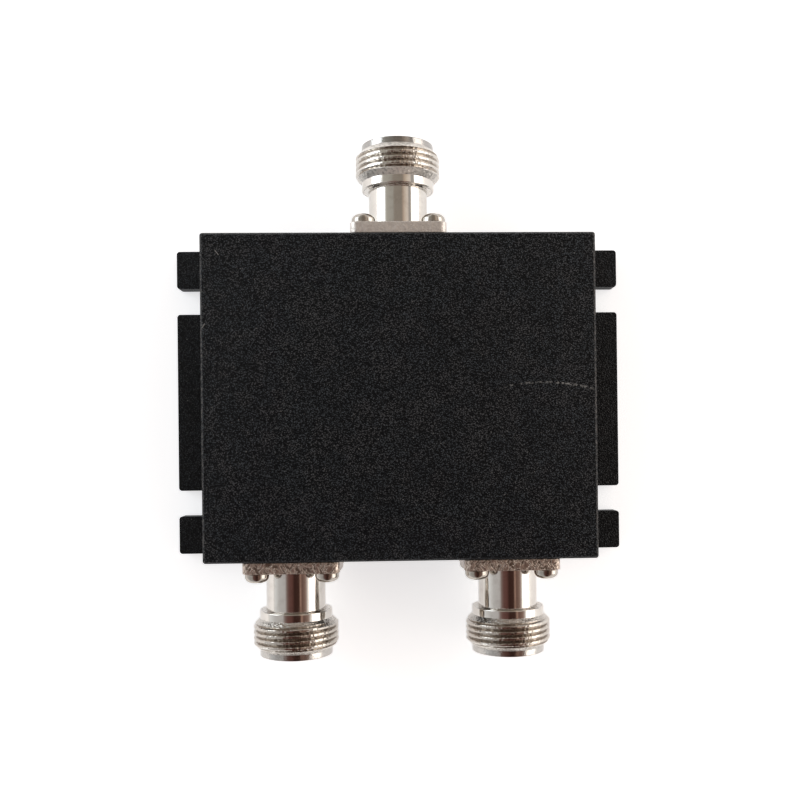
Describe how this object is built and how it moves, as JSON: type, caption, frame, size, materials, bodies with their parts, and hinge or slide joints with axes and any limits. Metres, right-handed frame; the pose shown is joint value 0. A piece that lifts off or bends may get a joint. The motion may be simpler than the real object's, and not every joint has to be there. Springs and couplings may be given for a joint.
{
  "type": "rf power splitter",
  "caption": "Flat black coaxial power splitter: one threaded input socket on the top wall, two output sockets below, slotted mounting ears at both sides.",
  "frame": {"origin": "centre of the back face, which lies on the mounting surface", "axes": "+Z out of the plain front face, +Y towards the input socket, -Y towards the two output sockets, +X to the right seen from the front"},
  "size_m": [0.0864, 0.0954, 0.019],
  "materials": {
    "black_paint": "fine sand-textured matt black paint on aluminium",
    "nickel_plate": "bright nickel plate on brass",
    "screw_steel": "nickel-plated steel",
    "gold_plate": "gold plate on bronze",
    "ptfe": "smooth white PTFE",
    "board": "glass-filled laminate",
    "copper": "etched copper",
    "ceramic": "glazed chip resistor",
    "solder": "tin solder"
  },
  "bodies": {
    "root": {"housing": "black_paint", "back_cover": "black_paint", "cover_screws": "screw_steel", "circuit_board": "board", "divider_track": "copper", "isolation_resistor_1": "ceramic", "isolation_resistor_2": "ceramic", "isolation_resistor_3": "ceramic", "solder_joints": "solder", "input_shell": "nickel_plate", "input_insulator": "ptfe", "input_contact": "gold_plate", "input_screws": "screw_steel", "output_left_shell": "nickel_plate", "output_left_insulator": "ptfe", "output_left_contact": "gold_plate", "output_left_screws": "screw_steel", "output_right_shell": "nickel_plate", "output_right_insulator": "ptfe", "output_right_contact": "gold_plate", "output_right_screws": "screw_steel"}
  },
  "joints": []
}
